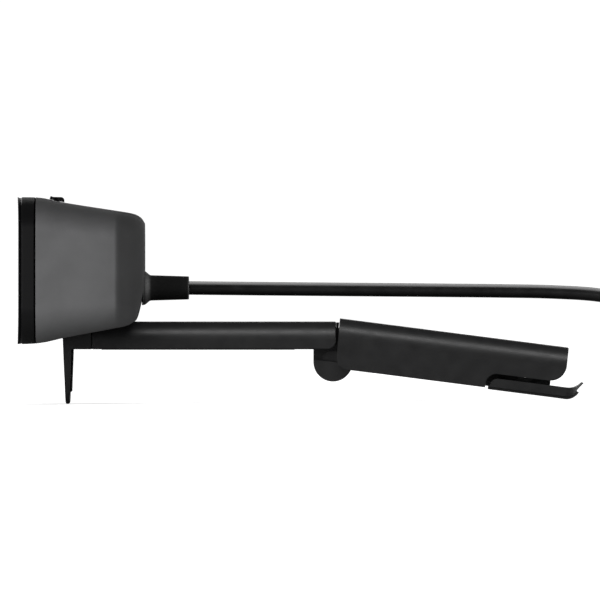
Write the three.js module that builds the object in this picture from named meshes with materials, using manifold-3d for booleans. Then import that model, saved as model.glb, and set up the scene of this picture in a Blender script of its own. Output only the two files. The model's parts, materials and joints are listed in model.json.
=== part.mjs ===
// A USB webcam on a folding clip. The camera head tilts on the front of a flat arm. A short lip hangs
// from the arm's front end, and a leg with a self-aligning foot folds out from its back end, so the clip
// hooks over a screen or, opened out as here, stands on a desk on its lip and its foot.
//
// Millimetres. x runs across the camera, y from its front to its back, z up. The pieces are drawn level,
// with y = 0 at the front face and z = 0 at the arm's underside. The whole camera is then leaned back
// until its lip and its foot touch z = 0, and moved so that the origin is under the middle of its box.
// The cable lies on that same surface and is drawn in the final frame.

import * as THREE from "three";
import { mergeVertices } from "three/addons/utils/BufferGeometryUtils.js";
import Module from "manifold-3d";

const wasm = await Module();
wasm.setup();

// ---- Driving dimensions -------------------------------------------------------------------------

const gap = 0.3; // between two pieces that would touch
const wall = 1.6; // of the head's housing

// The head's outline at stations from front to back: the half width, the top and bottom heights, and
// the corners' radii across, at the top and at the bottom.
const coverDepth = 3.7;
const headDepth = 26;
const headStations = [
  { y: 0.5, half: 36.5, top: 31.1, bottom: 1.05, across: 14, high: 6.5, low: 7.5 },
  { y: 4, half: 36.5, top: 31.05, bottom: 1.2, across: 14, high: 6.5, low: 7.5 },
  { y: 9.6, half: 36.3, top: 30, bottom: 2.35, across: 13.7, high: 6.2, low: 7 },
  { y: 20.1, half: 35.6, top: 28.35, bottom: 4.35, across: 13, high: 5.6, low: 6 },
  { y: 22.4, half: 32.8, top: 28, bottom: 4.85, across: 12, high: 5.4, low: 5.8 },
  { y: 24.2, half: 29.4, top: 27.6, bottom: 6, across: 11, high: 5.2, low: 5.4 },
  { y: 25.3, half: 25.8, top: 26.9, bottom: 9.6, across: 9.5, high: 4.8, low: 4 },
  { y: headDepth, half: 22.5, top: 25.8, bottom: 13.5, across: 8, high: 4.4, low: 3.5 },
];
const frontCrown = 0.5; // how far the front face bulges across its width
const frontEdge = 0.45; // rounding of the front face's rim

// The lens and what sits round it.
const lensHeight = 16.1;
const windowRadius = 7.15;
const ringRadius = 9.15;
const board = { half: 30, front: 11, back: 12, bottom: 10.2, top: 26 };
const partLift = 0.15; // between the board and what is soldered on it
const micOffset = 20.5;
const ledOffset = -13.5;
const boardScrewOffset = 27;
const boardScrewHeight = 18;
const rearCap = { y: 28, top: 9.6 }; // the furthest reach of the recess's walls

// The privacy shutter: where it stands with the lens open, and the slot its knob runs in.
const shutterOpen = 10;
const knob = { front: 6.65, back: 9.62, half: 3.5 };
const stem = { front: 7.5, back: 8.7, half: 1.4 };
const blade = { half: 4.6, front: 2.05, back: 2.55, bottom: 10.6, web: 27.5, top: 28.1 };

// The cable gland.
const glandHeight = 12.57;
const glandEnd = 35.2;

// The tilt hinge, and the recess under the head that the arm passes through.
const tilt = { y: 13, z: 5.4, bore: 0.95, pin: 0.85 };
const recess = { half: 12.5, front: 7.4, top: 8.2 };
const recessWall = 1.5;

// The clip's arm, lip and leg. A channel's section has rounded top corners.
const clipHalf = 12;
const channelWall = 1.1;
const channelCorner = 3.8;
const coreHalf = 10.6;
const arm = { front: 15.3, back: 65.23, top: 5.68 };
const blockFront = 9.25;
const lipTip = { y: 10.3, z: -10.72, radius: 0.45 };
const armPad = { half: 9, front: 17.2, back: 56.8, bottom: -0.1, top: 0.6 };
const coreTop = 4.42;
const fold = { y: 64.6, z: -2.6, radius: 4, bore: 1.1, pin: 1 }; // the leg's hinge
const knuckleHalf = 5.5;
const lug = { inside: 6.05, outside: 10.2 };
const boreReach = 8.7; // the leg's pin is hidden: its bore stops inside each lug
const washerHalf = 0.15;
const through = 13; // half the length of a tool that cuts right across the clip
const legDrop = THREE.MathUtils.degToRad(7.28); // how far the opened leg points below the arm

// The leg and the foot, in the leg's own frame: y along it from its hinge, z square to it.
const leg = { front: 0.3, back: 47.6, bottom: -1.2, top: 9.05 };
const notch = { front: 31.5, top: 1.85 };
const footPivot = { y: 39.5, z: 2.6, bore: 0.8, pin: 0.7 };
const foot = { front: 32.2, top: 0.88, sole: -0.95, bottom: -1.5 };
const footRib = { half: 4, front: 30.7, back: 44.7, top: 2.4 }; // closes the gap under the leg from inside
const ear = { inside: 4.4, outside: 6.6 };
const toe = { y: 48, z: 1.5 }; // centre of the toe's curl

// The cable, in the final frame. Its coil is four turns wide and four high.
const cordRadius = 1.4;
const cordSides = 8;
const turnPitch = 2.85;
const coil = {
  x: -14.1,
  y: 113,
  inside: 10.2,
  outside: 10.2 + 4 * turnPitch,
  bottom: 0.7,
  top: 0.7 + 4 * turnPitch,
};
const plug = { x: 28, z: 3.9, neck: 115, back: 107, front: 81, tip: 68.8 };
const plugGrip = { half: 7.9, corner: 1.8 };
const plugMetal = { half: 6, high: 2.25, sheet: 0.3, depth: 5.8 };
// From the gland through the air, then down to the desk beside the coil.
const leadRoute = [
  [0, -22.35, 23.48], [0, -10, 23.24], [0, 10, 22.87], [0, 30, 22.5], [0, 41, 22.28], [0.2, 52, 21.95],
  [0.7, 61.5, 21.2], [1.6, 70, 19.3], [2.9, 78, 15.9], [4.3, 86, 11.2], [5.5, 93, 6.6], [6.2, 98, 3.8],
  [6.3, 101.5, 2.7],
];
// From the top of the coil round to the plug's neck.
const tailRoute = [
  [6.3, 124.9, 9.7], [8.9, 129.6, 8.4], [13.2, 133.6, 7], [18.3, 134.6, 5.8], [23.2, 132.5, 4.9],
  [26.7, 128.1, 4.3], [27.9, 122.5, 3.95], [28, 115.35, 3.9],
];

// ---- Solids -------------------------------------------------------------------------------------

function solidOf(geometry) {
  const bare = geometry.clone();
  bare.deleteAttribute("normal");
  bare.deleteAttribute("uv");
  const merged = mergeVertices(bare, 1e-4);
  return new wasm.Manifold(
    new wasm.Mesh({
      numProp: 3,
      vertProperties: merged.attributes.position.array,
      triVerts: new Uint32Array(merged.index.array),
    }),
  );
}

function geometryOf(solid) {
  const mesh = solid.getMesh();
  return new THREE.BufferGeometry()
    .setAttribute("position", new THREE.BufferAttribute(mesh.vertProperties, 3))
    .setIndex(new THREE.BufferAttribute(mesh.triVerts, 1));
}

const join = (first, ...others) =>
  geometryOf(others.reduce((solid, other) => solid.add(solidOf(other)), solidOf(first)));
const cut = (first, ...tools) =>
  geometryOf(tools.reduce((solid, tool) => solid.subtract(solidOf(tool)), solidOf(first)));
const common = (a, b) => geometryOf(solidOf(a).intersect(solidOf(b)));

// ---- Shapes -------------------------------------------------------------------------------------

// A closed outline through corners [a, b, radius], where a radius rounds its corner with an arc.
function outline(...corners) {
  const shape = new THREE.Shape();
  corners.forEach(([a, b, radius = 0], i) => {
    const here = new THREE.Vector2(a, b);
    const before = new THREE.Vector2(...corners.at(i - 1));
    const after = new THREE.Vector2(...corners[(i + 1) % corners.length]);
    const toBefore = before.sub(here).normalize();
    const toAfter = after.sub(here).normalize();
    const halfAngle = Math.acos(THREE.MathUtils.clamp(toBefore.dot(toAfter), -1, 1)) / 2;
    const reach = radius / Math.tan(halfAngle);
    const start = here.clone().addScaledVector(toBefore, reach);
    if (i) shape.lineTo(start.x, start.y);
    else shape.moveTo(start.x, start.y);
    if (!radius) return;
    const end = here.clone().addScaledVector(toAfter, reach);
    const inward = toBefore.clone().add(toAfter).normalize();
    const centre = here.clone().addScaledVector(inward, radius / Math.sin(halfAngle));
    const from = Math.atan2(start.y - centre.y, start.x - centre.x);
    const to = Math.atan2(end.y - centre.y, end.x - centre.x);
    shape.absarc(centre.x, centre.y, radius, from, to, toBefore.cross(toAfter) > 0);
  });
  shape.closePath();
  return shape;
}

function extrude(shape, depth, curveSegments) {
  return new THREE.ExtrudeGeometry(shape, { depth, bevelEnabled: false, curveSegments });
}

// An outline drawn in (y, z), from x0 to x1.
function acrossX(shape, x0, x1, segments = 5) {
  const basis = new THREE.Matrix4().makeBasis(
    new THREE.Vector3(0, 1, 0),
    new THREE.Vector3(0, 0, 1),
    new THREE.Vector3(1, 0, 0),
  );
  return extrude(shape, x1 - x0, segments).applyMatrix4(basis).translate(x0, 0, 0);
}

// An outline drawn in (x, z), from y0 to y1.
function alongY(shape, y0, y1, segments = 5) {
  return extrude(shape, y1 - y0, segments).rotateX(Math.PI / 2).translate(0, y1, 0);
}

function box(x0, x1, y0, y1, z0, z1) {
  const middle = [(x0 + x1) / 2, (y0 + y1) / 2, (z0 + z1) / 2];
  return new THREE.BoxGeometry(x1 - x0, y1 - y0, z1 - z0).translate(...middle);
}

function rodX(y, z, radius, x0, x1, sides = 24) {
  return new THREE.CylinderGeometry(radius, radius, x1 - x0, sides)
    .rotateZ(Math.PI / 2)
    .translate((x0 + x1) / 2, y, z);
}

function rodY(x, z, radius, y0, y1, sides = 24) {
  return new THREE.CylinderGeometry(radius, radius, y1 - y0, sides).translate(x, (y0 + y1) / 2, z);
}

// A profile of [radius, y] turned round a line along y. It runs from front to back round its outside.
function turned(x, z, profile, sides = 24) {
  const points = profile.map(([radius, y]) => new THREE.Vector2(radius, y));
  return new THREE.LatheGeometry(points, sides).translate(x, 0, z);
}

// A channel's section, in (x, z), with its top corners rounded.
const channelSection = (half, bottom, top, radius) =>
  outline([-half, bottom], [half, bottom], [half, top, radius], [-half, top, radius]);

// Both copies of a piece that stands from x0 to x1 on each side of the middle.
const bothSides = (make, x0, x1) => [make(x0, x1), make(-x1, -x0)];

// ---- The head's shells --------------------------------------------------------------------------

// The head's outline at one depth, taken in by inset on every side.
function headSection(y, inset) {
  const after = Math.max(1, headStations.findIndex((s) => s.y >= y));
  const [a, b] = [headStations[after - 1], headStations[after]];
  const share = THREE.MathUtils.clamp((y - a.y) / (b.y - a.y), 0, 1);
  const at = (key) => THREE.MathUtils.lerp(a[key], b[key], share);
  return {
    half: at("half") - inset,
    top: at("top") - inset,
    bottom: at("bottom") + inset,
    across: Math.max(at("across") - inset, 1),
    high: Math.max(at("high") - inset, 1),
    low: Math.max(at("low") - inset, 1),
  };
}

// A closed body through the head's outline at several depths. crown bows the front back towards its
// ends, and middles is how many columns that takes between the corners.
function headLoft(depths, inset, crown = 0, middles = 0) {
  const steps = 5;
  const position = [];
  const rows = depths.map((depth, i) => {
    const { y, extra = 0 } = depth.y === undefined ? { y: depth } : depth;
    const s = headSection(y, inset + extra);
    const corner = Array.from({ length: steps + 1 }, (_, k) => {
      const angle = (k / steps) * (Math.PI / 2);
      return {
        x: s.half - s.across * (1 - Math.cos(angle)),
        top: s.top - s.high * (1 - Math.sin(angle)),
        bottom: s.bottom + s.low * (1 - Math.sin(angle)),
      };
    });
    const inner = corner.at(-1);
    const middle = Array.from({ length: middles }, (_, k) => {
      return { ...inner, x: inner.x * (1 - (2 * (k + 1)) / (middles + 1)) };
    });
    const columns = [...corner, ...middle, ...corner.map((c) => ({ ...c, x: -c.x })).reverse()];
    const bow = (x) => (i < 2 ? crown * (x / s.half) ** 2 : 0);
    const top = columns.map((c) => position.push(c.x, y + bow(c.x), c.top) / 3 - 1);
    const bottom = columns.map((c) => position.push(c.x, y + bow(c.x), c.bottom) / 3 - 1);
    return { top, bottom, ring: [...top, ...bottom.toReversed()] };
  });
  const index = [];
  const quad = (a, b, c, d) => index.push(a, b, c, a, c, d);
  rows.slice(1).forEach((row, i) => {
    const front = rows[i].ring;
    front.forEach((_, k) => {
      const next = (k + 1) % front.length;
      quad(front[k], row.ring[k], row.ring[next], front[next]);
    });
  });
  const [first, last] = [rows[0], rows.at(-1)];
  for (let k = 0; k + 1 < first.top.length; k++) {
    quad(first.top[k], first.top[k + 1], first.bottom[k + 1], first.bottom[k]);
    quad(last.top[k + 1], last.top[k], last.bottom[k], last.bottom[k + 1]);
  }
  return new THREE.BufferGeometry()
    .setAttribute("position", new THREE.Float32BufferAttribute(position, 3))
    .setIndex(index);
}

function frontCover() {
  const inside = 1.4;
  const frontWall = 1.45;
  return cut(
    headLoft([{ y: 0, extra: frontEdge }, frontEdge, coverDepth], 0, frontCrown, 9),
    headLoft([frontWall, coverDepth + 1], inside),
    rodY(0, lensHeight, ringRadius + 0.15, -1, 3, 40),
    rodY(ledOffset, lensHeight, 0.95, -1, 3, 16),
    ...[micOffset, -micOffset].map((x) => rodY(x, lensHeight, 0.5, -1, 3, 12)),
  );
}

// Lined up with the cover's rim, and hooked into it by a thinner rim of its own.
function housing() {
  const start = coverDepth + gap;
  const outside = headLoft([start, 9.6, 20.1, 22.4, 24.2, 25.3, headDepth], 0);
  const cavity = headLoft([start - 2, 9.6, 20.1, 22.4, 23.4], wall);
  const rim = cut(headLoft([2.7, start + 1], 1.55), headLoft([2, start + 2], 2.5));
  const { front, half, top } = recess;
  const wallFront = front - wall;
  const recessWalls = acrossX(
    outline(
      [wallFront, 0], [rearCap.y, 0], [rearCap.y, rearCap.top], [front + 0.2, rearCap.top, 1.5],
      [wallFront, 7.6, 1],
    ),
    -half - recessWall,
    half + recessWall,
  );
  const room = acrossX(
    outline([front, -1], [rearCap.y, -1], [rearCap.y, top], [front + 1.4, top, 0.8], [front, 6.6]),
    -half,
    half,
  );
  const bosses = bothSides((x0, x1) => rodX(tilt.y, tilt.z, 2.35, x0, x1), half, 16.6);
  const screwPlaces = [boardScrewOffset, -boardScrewOffset];
  const boardPosts = screwPlaces.map((x) => rodY(x, boardScrewHeight, 2.2, board.back + gap, 24.2, 16));
  const inner = common(outside, join(recessWalls, ...bosses, ...boardPosts));
  return cut(
    join(cut(outside, cavity), inner, rim),
    room,
    rodX(tilt.y, tilt.z, tilt.bore, -16, 16),
    rodY(0, glandHeight, 2.15, 22, rearCap.y),
    rodY(0, glandHeight, 3.85, 25.2, rearCap.y),
    box(-stem.half - gap, shutterOpen + stem.half + gap, stem.front - gap, stem.back + gap, 26, 33),
    ...screwPlaces.map((x) => rodY(x, boardScrewHeight, 0.95, board.back, 19, 12)),
  );
}

// ---- The head's working parts -------------------------------------------------------------------

function lensRing() {
  const bore = windowRadius + 0.15;
  const profile = [[bore, 1.75], [bore, 1], [8.6, 0.2], [ringRadius, 0.2], [ringRadius, 1.75], [bore, 1.75]];
  return turned(0, lensHeight, profile, 40);
}

function lensBarrel() {
  const bore = 2.1;
  const body = 3.95;
  const rim = 5;
  return turned(0, lensHeight, [
    [bore, 8.9], [bore, 4.9], [3.4, 4.7], [4.4, 2.9], [rim, 2.9], [rim, 4.3], [body, 4.5], [body, 8.9],
    [bore, 8.9],
  ]);
}

function lensHolder() {
  const base = box(-6, 6, 8.2, board.front - partLift, lensHeight - 6, lensHeight + 6);
  const tube = rodY(0, lensHeight, 5.2, 4.7, 8.4);
  return cut(
    join(base, tube),
    rodY(0, lensHeight, 4.1, 4, 9.1),
    box(-4, 4, 9, 12, lensHeight - 4, lensHeight + 4),
  );
}

const frontElement = () => turned(0, lensHeight, [[0, 3.3], [1.7, 3.5], [3.1, 4.2], [3.1, 4.5], [0, 4.6]]);
const rearElement = () => turned(0, lensHeight, [[0, 7], [2, 7.3], [2, 8.2], [0, 8.5]], 16);

// The blade hangs in front of the lens from a web that reaches back to the knob's stem.
function shutterBlade() {
  const x = shutterOpen;
  const { half, front, back, bottom, web, top } = blade;
  return join(
    box(x - half, x + half, front, back, bottom, top),
    box(x - half, x + half, front, stem.back, web, top),
    box(x - stem.half, x + stem.half, stem.front, stem.back, web, 30.85),
  );
}

function shutterKnob() {
  const { front, back, half } = knob;
  const x = shutterOpen;
  const fit = 0.2;
  const side = outline(
    [front, 30.68, 0.1], [back, 30.12, 0.1], [back, 31.16, 0.6], [front + 0.2, 31.42, 0.35],
  );
  const socket = box(x - stem.half - fit, x + stem.half + fit, stem.front - fit, stem.back + fit, 30, 31);
  return cut(acrossX(side, x - half, x + half), socket);
}

function cableGland() {
  return turned(0, glandHeight, [
    [0, 21.9], [2.6, 21.9], [2.6, 23.1], [2, 23.1], [2, 25.45], [3.6, 25.45], [3.6, 25.85], [3.1, 26.2],
    [2.8, 26.7], [2.66, 27.4], [2.42, glandEnd - 0.25], [2.2, glandEnd], [0, glandEnd],
  ]);
}

// A tube of the given radius along points, with steps along it.
function tube(points, radius, steps, sides = cordSides) {
  const circle = new THREE.Shape().absarc(0, 0, radius, 0, 2 * Math.PI);
  const path = new THREE.CatmullRomCurve3(points.map((p) => new THREE.Vector3(...p)), false, "centripetal");
  return new THREE.ExtrudeGeometry(circle, { steps, curveSegments: sides, extrudePath: path });
}

// From the gland's inner end to the connector on the board.
function innerLead() {
  const route = [
    [0, 21.5, glandHeight], [0, 20.3, 12.6], [-3, 18.7, 12.8], [-9, 18.3, 13], [-12, 17, 13.1],
    [-12, 15.4, 13.1],
  ];
  return tube(route, 0.9, 14, 6);
}

function boardScrew(x) {
  const head = rodY(x, boardScrewHeight, 1.8, 9.7, board.front - 0.1, 16);
  const slot = box(x - 1.2, x + 1.2, 9, 10.1, boardScrewHeight - 0.25, boardScrewHeight + 0.25);
  return cut(join(head, rodY(x, boardScrewHeight, 0.8, 10.5, 17, 12)), slot);
}

function mainBoard() {
  return cut(
    box(-board.half, board.half, board.front, board.back, board.bottom, board.top),
    ...[boardScrewOffset, -boardScrewOffset].map((x) => rodY(x, boardScrewHeight, 1.1, 10, 13, 16)),
  );
}

const micBoot = (x) => cut(rodY(x, lensHeight, 1.8, 1.75, 9.5, 16), rodY(x, lensHeight, 0.6, 1, 10, 12));

// ---- The clip -----------------------------------------------------------------------------------

// The hinge block and the lip under it. The lip's lower corners are rounded, seen from the front.
function hook() {
  const { y, z, radius } = lipTip;
  const side = outline(
    [blockFront, 3.6], [y - radius, z, 0.1], [y - 0.3, z - radius, 0.3], [y + 0.3, z - radius, 0.3],
    [y + 0.42, z, 0.1], [11.1, 0], [15.1, 0], [15.1, 4.9], [10.6, 4.9, 1],
  );
  const front = outline(
    [-coreHalf, z - radius, 3], [coreHalf, z - radius, 3], [clipHalf, -2], [clipHalf, 8], [-clipHalf, 8],
    [-clipHalf, -2],
  );
  return common(acrossX(side, -clipHalf, clipHalf), alongY(front, 5, 20));
}

// The knuckle between the leg's lugs, its neck inside the arm, and the stop behind the arm's cover that
// the opened leg rests on.
function foldKnuckle() {
  const { y, z, radius } = fold;
  const stopFront = arm.back + 0.12;
  const neckBack = y + 2.4;
  const shape = new THREE.Shape();
  shape.absarc(y, z, radius, Math.PI, 2 * Math.PI + Math.acos((neckBack - y) / radius));
  shape.lineTo(neckBack, coreTop);
  shape.lineTo(65.7, coreTop);
  shape.lineTo(65.82, 5.45);
  shape.lineTo(stopFront, 5.45);
  shape.lineTo(stopFront, coreTop);
  shape.lineTo(y - radius, coreTop);
  return acrossX(shape, -knuckleHalf, knuckleHalf, 16);
}

// The hook, a core that runs inside the arm's cover, and the knuckle for the leg.
function clipFrame() {
  const tiltKnuckle = rodX(tilt.y, tilt.z, 2.1, 0.1 - clipHalf, clipHalf - 0.1);
  const core = alongY(channelSection(coreHalf, 0.08, coreTop - 0.02, 2.5), 14, arm.back - 0.2);
  const lugRoom = bothSides(
    (x0, x1) => rodX(fold.y, fold.z, fold.radius + 0.5, x0, x1),
    knuckleHalf - 0.05,
    clipHalf,
  );
  const padRecess = box(
    -armPad.half - 0.2,
    armPad.half + 0.2,
    armPad.front - 0.2,
    armPad.back + 0.2,
    -1,
    armPad.top + 0.15,
  );
  return cut(
    join(hook(), tiltKnuckle, cut(core, ...lugRoom, padRecess), foldKnuckle()),
    rodX(tilt.y, tilt.z, tilt.bore, -through, through),
    rodX(fold.y, fold.z, fold.bore, -through, through),
  );
}

// A channel open underneath, in the frame that its caller draws in.
function channel({ front, back, bottom, top }) {
  return cut(
    alongY(channelSection(clipHalf, bottom, top, channelCorner), front, back),
    alongY(
      channelSection(clipHalf - channelWall, bottom - 1, top - channelWall, channelCorner - channelWall),
      front - 1,
      back + 1,
    ),
  );
}

function armCover() {
  const { front, back, top } = arm;
  const side = outline([front, -1], [front, 7], [back, 7], [back, 0, 1.7], [front + 20, 0], [front + 20, -1]);
  return common(channel({ front, back, bottom: 0, top }), acrossX(side, -through, through));
}

function lipPad() {
  return acrossX(outline([11.15, -0.8], [11.42, -0.8], [11.12, -8.7, 0.1], [10.85, -8.7]), -9.5, 9.5);
}

// ---- The leg and the foot, in the leg's frame ------------------------------------------------------

function legCover() {
  const side = outline(
    [leg.front, leg.top], [0.72, leg.bottom, 2.5], [notch.front, leg.bottom], [notch.front, notch.top, 2.2],
    [leg.back, notch.top, 3.3], [leg.back - 0.1, leg.top, 0.3],
  );
  return common(channel(leg), acrossX(side, -through, through));
}

function footEar(x0, x1) {
  const { y, z } = footPivot;
  const root = 6.3;
  const side = outline([y - 2.6, root], [y - 1.5, z - 1.5, 1.4], [y + 1.5, z - 1.5, 1.4], [y + 2.6, root]);
  return acrossX(side, x0, x1);
}

function hingeLug(x0, x1) {
  const shape = new THREE.Shape();
  shape.absarc(0, 0, fold.radius, Math.PI, 2 * Math.PI);
  shape.lineTo(8, 2.4);
  shape.lineTo(8, 6.6);
  shape.lineTo(1, 6.2);
  shape.lineTo(1, 0);
  return acrossX(shape, x0, x1, 16);
}

// A plate under the cover's top, two round lugs at the hinge, and two ears for the foot's pin.
function legFrame() {
  const plate = alongY(channelSection(coreHalf, 5.1, leg.top - channelWall - gap, 2.4), 6, 46);
  const lugs = bothSides(hingeLug, lug.inside, lug.outside);
  const bosses = bothSides((x0, x1) => rodX(0, 0, 2.3, x0, x1), lug.inside, 9);
  const ears = bothSides(footEar, ear.inside, ear.outside);
  return cut(
    join(plate, ...lugs, ...bosses, ...ears),
    rodX(0, 0, fold.bore, -boreReach, boreReach),
    rodX(footPivot.y, footPivot.z, footPivot.bore, -through, through, 16),
  );
}

// The sole's plate: flat, with a rounded heel that fits the leg's notch and a toe that curls up to a
// tab. Its pivot stands on a rib inside the leg.
function footPlate() {
  const { y, z, bore } = footPivot;
  const { half, front, back, top } = footRib;
  const shape = new THREE.Shape();
  shape.moveTo(foot.front, foot.sole);
  shape.lineTo(toe.y, foot.sole);
  shape.absarc(toe.y, toe.z, toe.z - foot.sole, -Math.PI / 2, -0.3);
  shape.lineTo(51.45, 2.25);
  shape.absarc(48.3, 4.25, 3.37, -0.6, -Math.PI / 2, true);
  shape.lineTo(foot.front + 1.8, foot.top);
  shape.absarc(foot.front + 1.8, foot.top - 1.5, 1.5, Math.PI / 2, Math.PI * 0.93);
  const plate = acrossX(shape, 0.1 - clipHalf, clipHalf - 0.1, 6);
  const rib = acrossX(
    outline(
      [front, foot.sole + 0.1], [foot.front + 2, foot.sole + 0.1], [foot.front + 2, 0], [back, 0],
      [back, top, 0.6], [front, top, 1.2],
    ),
    -half,
    half,
  );
  const boss = rodX(y, z, 1.6, -half, half, 16);
  return cut(join(plate, rib, boss), rodX(y, z, bore, -half - 1, half + 1, 16));
}

function footPad() {
  const skin = 0.05;
  const shape = new THREE.Shape();
  shape.moveTo(foot.front + 0.05, foot.bottom);
  shape.lineTo(toe.y, foot.bottom);
  shape.absarc(toe.y, toe.z, toe.z - foot.bottom, -Math.PI / 2, -0.45);
  shape.absarc(toe.y, toe.z, toe.z - foot.sole + skin, -0.45, -Math.PI / 2, true);
  shape.lineTo(foot.front + 0.05, foot.sole - skin);
  return acrossX(shape, -11.4, 11.4, 8);
}

// ---- The cable and its plug, in the final frame -------------------------------------------------------

function cordCoil() {
  const { inside, outside, bottom, top } = coil;
  const bevel = 1.2;
  const section = [
    [inside, bottom + bevel], [inside + bevel, bottom], [outside - bevel, bottom], [outside, bottom + bevel],
    [outside, top - bevel], [outside - bevel, top], [inside + bevel, top], [inside, top - bevel],
    [inside, bottom + bevel],
  ].map(([radius, z]) => new THREE.Vector2(radius, z));
  return new THREE.LatheGeometry(section, 40).rotateX(Math.PI / 2).translate(coil.x, coil.y, 0);
}

// A strap round the coil's bundle, opposite the place where the cable joins it.
function cordTie() {
  const half = 2.5;
  const thickness = 0.4;
  const inside = Math.sqrt(coil.inside ** 2 - half ** 2) - gap;
  const loop = (grow) =>
    alongY(
      outline(
        [-coil.outside - gap - grow, coil.bottom - gap - grow, 1.3],
        [grow - inside, coil.bottom - gap - grow, 1.3],
        [grow - inside, coil.top + gap + grow, 1.3],
        [-coil.outside - gap - grow, coil.top + gap + grow, 1.3],
      ),
      -half - grow,
      half + grow,
    );
  const strap = cut(loop(thickness), loop(0), box(-30, 0, -10, -half, -1, 15), box(-30, 0, half, 10, -1, 15));
  return strap.translate(coil.x, coil.y, 0);
}

function plugBody() {
  const { x, z, front, back, neck } = plug;
  const { half, corner } = plugGrip;
  const reach = plugMetal.half + 0.15;
  const high = plugMetal.high + 0.15;
  const top = 2 * z;
  const section = outline([-half, 0, corner], [half, 0, corner], [half, top, corner], [-half, top, corner]);
  const grip = alongY(section, front, back).translate(x, 0, 0);
  const sleeve = turned(x, z, [[0, back - 1], [3, back - 1], [3, back + 0.6], [1.9, neck], [0, neck]]);
  const socket = box(x - reach, x + reach, front - 1, front + plugMetal.depth + 0.2, z - high, z + high);
  return cut(join(grip, sleeve), socket);
}

// A folded metal shell with two windows in its top.
function plugShell() {
  const { x, z, tip } = plug;
  const { half, high, sheet } = plugMetal;
  const back = plug.front + plugMetal.depth;
  const window = { offset: 2.9, half: 1.2, front: tip + 5, back: tip + 7.2 };
  return cut(
    box(x - half, x + half, tip, back, z - high, z + high),
    box(x - half + sheet, x + half - sheet, tip - 1, back - 1, z - high + sheet, z + high - sheet),
    ...[x - window.offset, x + window.offset].map((at) =>
      box(at - window.half, at + window.half, window.front, window.back, z + 1, z + 4),
    ),
  );
}

function plugTongue() {
  return box(plug.x - 5.55, plug.x + 5.55, plug.tip + 0.4, plug.front + 4.6, plug.z + 0.1, plug.z + 1.85);
}

// ---- Materials ----------------------------------------------------------------------------------

function material(color, roughness, metalness = 0, more = {}) {
  return new THREE.MeshStandardMaterial({ color, roughness, metalness, ...more });
}

const charcoal = material(0x3c3d3e, 0.6);
const glossBlack = material(0x0b0b0c, 0.15);
const clipBlack = material(0x161617, 0.45);
const rubber = material(0x1a1a1a, 0.85);
const cordBlack = material(0x0e0e0f, 0.4);
const steel = material(0xb4b6b8, 0.3, 1);
const glass = material(0x20262c, 0.05, 0, { transparent: true, opacity: 0.4 });
const boardGreen = material(0x14502c, 0.5);
const chipBlack = material(0x141416, 0.5);
const milky = material(0xe8e8e2, 0.4);

// ---- Assembly -----------------------------------------------------------------------------------

function add(group, name, geometry, look) {
  const mesh = new THREE.Mesh(geometry, look);
  mesh.name = name;
  group.add(mesh);
}

// A block with its middle at (x, z), standing from front to back.
function chip(x, z, halfWidth, halfHeight, front, back) {
  return box(x - halfWidth, x + halfWidth, front, back, z - halfHeight, z + halfHeight);
}

function addLens(group) {
  add(group, "lens_ring", lensRing(), clipBlack);
  add(group, "lens_window", rodY(0, lensHeight, windowRadius, 1, 1.6, 40), glass);
  add(group, "lens_barrel", lensBarrel(), clipBlack);
  add(group, "lens_front_element", frontElement(), glass);
  add(group, "lens_rear_element", rearElement(), glass);
  add(group, "lens_holder", lensHolder(), clipBlack);
  add(group, "infrared_filter", chip(0, lensHeight, 2.9, 2.9, 9.2, 9.5), glass);
}

function addBoard(group) {
  const front = board.front - partLift;
  const back = board.back + partLift;
  add(group, "main_board", mainBoard(), boardGreen);
  add(group, "image_sensor", chip(0, lensHeight, 2.8, 2.4, 9.9, front), chipBlack);
  add(group, "processor_chip", chip(10.5, 17.5, 4.5, 4.5, back, 13.05), chipBlack);
  add(group, "cable_connector", chip(-12, 13.1, 4, 2.3, back, 15), milky);
  add(group, "inner_lead", innerLead(), cordBlack);
  add(group, "status_led", chip(ledOffset, lensHeight, 0.8, 0.6, 10.1, front), milky);
  add(group, "led_light_pipe", rodY(ledOffset, lensHeight, 0.75, 0.25, 9.9, 16), milky);
  [["left", -1], ["right", 1]].forEach(([side, way]) => {
    const x = way * micOffset;
    add(group, `microphone_${side}`, chip(x, lensHeight, 1.9, 1.5, 9.75, front), steel);
    add(group, `microphone_boot_${side}`, micBoot(x), rubber);
    add(group, `board_screw_${side}`, boardScrew(way * boardScrewOffset), steel);
  });
}

function addHead(group) {
  add(group, "front_cover", frontCover(), glossBlack);
  add(group, "rear_housing", housing(), charcoal);
  addLens(group);
  addBoard(group);
  add(group, "shutter_blade", shutterBlade(), clipBlack);
  add(group, "shutter_knob", shutterKnob(), glossBlack);
  add(group, "cable_gland", cableGland(), rubber);
  add(group, "tilt_pin", rodX(tilt.y, tilt.z, tilt.pin, -15.7, 15.7), steel);
}

function washer(y, z, radius, bore, x) {
  const disc = rodX(y, z, radius, x - washerHalf, x + washerHalf);
  return cut(disc, rodX(y, z, bore, x - 1, x + 1));
}

function addClip(group) {
  const { half, front, back, bottom, top } = armPad;
  add(group, "clip_frame", clipFrame(), clipBlack);
  add(group, "arm_cover", armCover(), clipBlack);
  add(group, "arm_grip_pad", box(-half, half, front, back, bottom, top), rubber);
  add(group, "lip_pad", lipPad(), rubber);
  [["left", -1], ["right", 1]].forEach(([side, way]) => {
    add(group, `tilt_washer_${side}`, washer(tilt.y, tilt.z, 2.1, 1, way * 12.2), steel);
    add(group, `fold_washer_${side}`, washer(fold.y, fold.z, 2.25, 1.15, way * 5.78), clipBlack);
  });
}

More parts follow.
